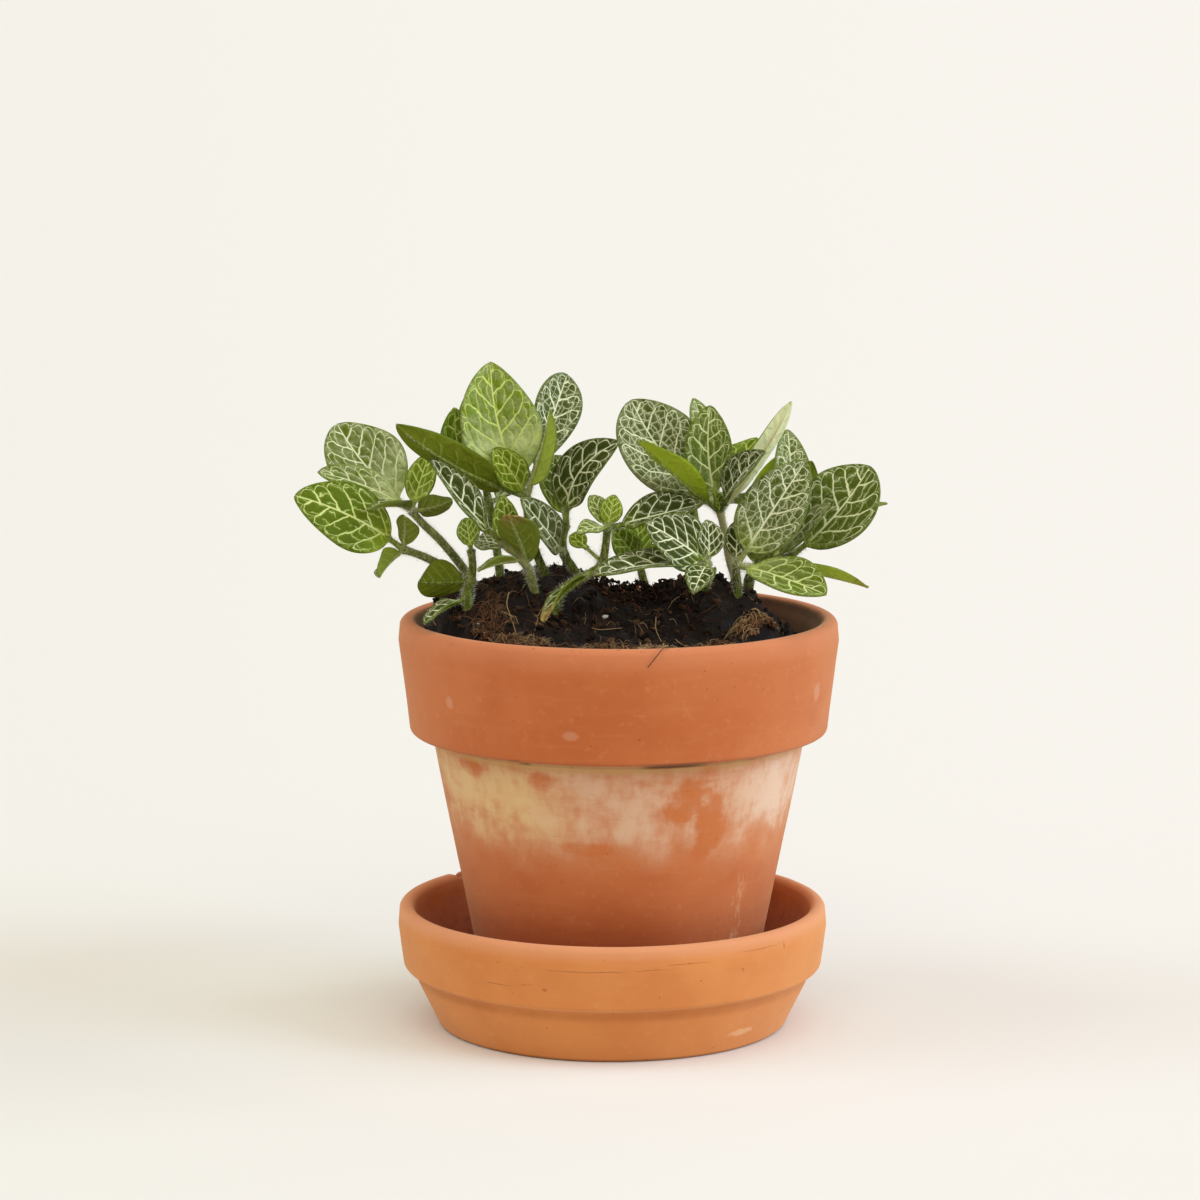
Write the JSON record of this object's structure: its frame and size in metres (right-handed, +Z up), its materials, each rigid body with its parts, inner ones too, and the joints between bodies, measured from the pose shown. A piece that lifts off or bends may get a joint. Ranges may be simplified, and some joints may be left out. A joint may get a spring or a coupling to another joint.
{
  "type": "potted nerve plant",
  "caption": "Low bushy nerve plant with net-veined leaves on hairy stems, in a collared clay flower pot full of soil that stands in its clay saucer.",
  "frame": {"origin": "middle of the saucer's underside, on the surface that it stands on", "axes": "+Z up, -Y towards the front, where the chip in the saucer's rim is behind and to the left, and +X to the right from there"},
  "size_m": [0.1729, 0.13, 0.1977],
  "materials": {
    "pot_clay": "unglazed fired clay, dry and matte, with pale lime bloom on the body",
    "saucer_clay": "unglazed fired clay, a little lighter than the pot, dry and matte",
    "potting_soil": "moist dark peat with crumbs, bark and straw-like fibres",
    "nerve_leaf": "satin green blade with a net of pale veins, downy stems"
  },
  "bodies": {
    "root": {"saucer": "saucer_clay", "pot": "pot_clay", "soil": "potting_soil", "shoot_left_upper": "nerve_leaf", "shoot_left_outer": "nerve_leaf", "shoot_left_low": "nerve_leaf", "shoot_left_main": "nerve_leaf", "shoot_left_front": "nerve_leaf", "shoot_left_right": "nerve_leaf", "shoot_middle": "nerve_leaf", "shoot_middle_back": "nerve_leaf", "shoot_right_main": "nerve_leaf", "shoot_right_outer": "nerve_leaf", "shoot_right_low": "nerve_leaf", "shoot_right_front": "nerve_leaf", "shoot_back_left": "nerve_leaf", "shoot_back_right": "nerve_leaf"}
  },
  "joints": []
}
